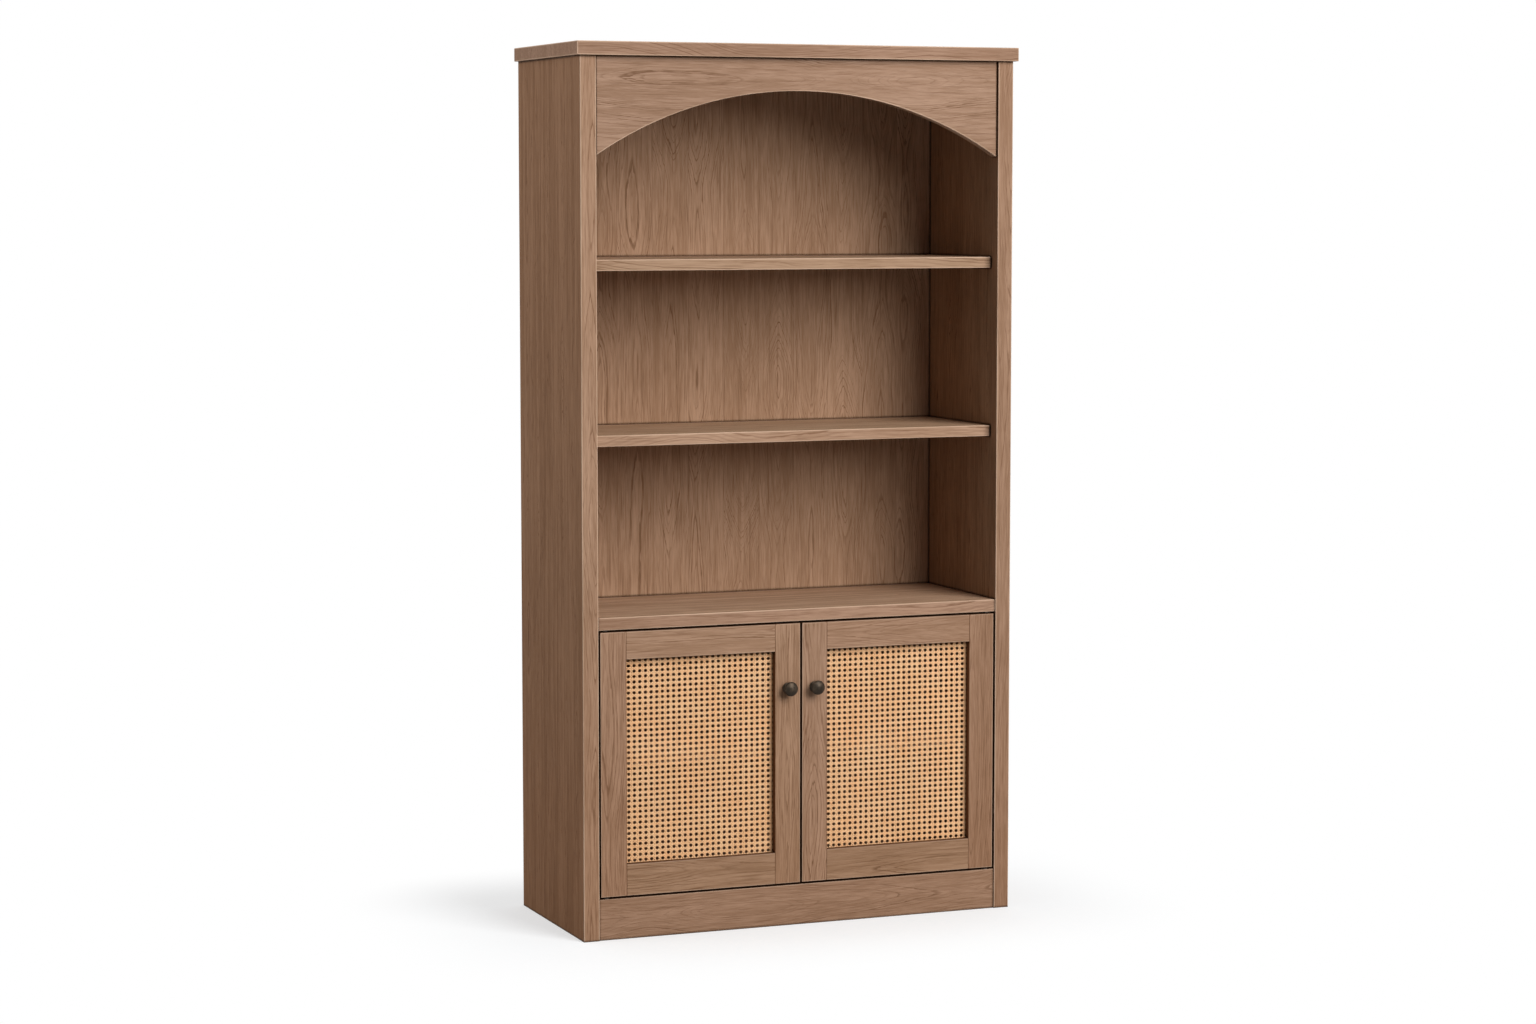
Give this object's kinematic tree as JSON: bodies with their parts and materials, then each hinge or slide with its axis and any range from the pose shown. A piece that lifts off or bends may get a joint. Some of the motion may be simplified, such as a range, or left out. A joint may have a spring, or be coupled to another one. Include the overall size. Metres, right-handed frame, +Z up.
{
  "type": "arched bookcase",
  "caption": "Tall freestanding bookcase with an arched valance over open shelves, above a cabinet with paired cane doors and round knobs.",
  "frame": {"origin": "on the floor, under the middle of the bounding box, which the knobs and the case's rear face set front to back", "axes": "+Z up; +Y from the doors towards the wall; +X to the right as seen from the front"},
  "size_m": [0.977, 0.4284, 1.829],
  "materials": {
    "oak": "matte weathered oak with open grain",
    "dowel_wood": "plain sanded beech",
    "cane": "natural woven cane",
    "dark_bronze": "oil rubbed dark bronze",
    "steel": "zinc plated",
    "nylon": "moulded brown nylon",
    "magnet": "sintered ferrite"
  },
  "bodies": {
    "case": {"arched_valance": "oak", "back_panel": "oak", "back_panel_screws": "steel", "cabinet_floor": "oak", "cabinet_shelf": "oak", "cabinet_shelf_pins": "steel", "cam_bolts": "steel", "cam_locks": "steel", "catch_screws": "steel", "deck_shelf": "oak", "left_catch_housing": "nylon", "left_catch_magnet": "magnet", "left_front_stile": "oak", "left_pivot_bushes": "nylon", "left_side_panel": "oak", "left_wall_bracket": "steel", "lower_rear_rail": "oak", "middle_shelf": "oak", "plinth_board": "oak", "plinth_dowels": "dowel_wood", "rail_dowels": "dowel_wood", "rear_plinth": "oak", "right_catch_housing": "nylon", "right_catch_magnet": "magnet", "right_front_stile": "oak", "right_pivot_bushes": "nylon", "right_side_panel": "oak", "right_wall_bracket": "steel", "shelf_dowels": "dowel_wood", "stile_dowels": "dowel_wood", "top_dowels": "dowel_wood", "top_panel": "oak", "upper_rear_rail": "oak", "upper_shelf": "oak", "wall_bracket_screws": "steel"},
    "left_door": {"left_door_bottom_rail": "oak", "left_door_cane_beads": "oak", "left_door_cane_panel": "cane", "left_door_hinge_stile": "oak", "left_door_knob": "dark_bronze", "left_door_knob_screw": "steel", "left_door_meeting_stile": "oak", "left_door_pivot_pins": "dark_bronze", "left_door_strike_plate": "steel", "left_door_strike_screw": "steel", "left_door_thrust_washer": "dark_bronze", "left_door_top_rail": "oak"},
    "right_door": {"right_door_bottom_rail": "oak", "right_door_cane_beads": "oak", "right_door_cane_panel": "cane", "right_door_hinge_stile": "oak", "right_door_knob": "dark_bronze", "right_door_knob_screw": "steel", "right_door_meeting_stile": "oak", "right_door_pivot_pins": "dark_bronze", "right_door_strike_plate": "steel", "right_door_strike_screw": "steel", "right_door_thrust_washer": "dark_bronze", "right_door_top_rail": "oak"}
  },
  "joints": [
    {"name": "left_door_hinge", "type": "hinge", "parent": "case", "child": "left_door", "pos_m": [-0.4285, -0.17875, 0.089], "axis": [0, 0, -1], "range_deg": [0, 110]},
    {"name": "right_door_hinge", "type": "hinge", "parent": "case", "child": "right_door", "pos_m": [0.4285, -0.17875, 0.089], "axis": [0, 0, 1], "range_deg": [0, 110]}
  ]
}
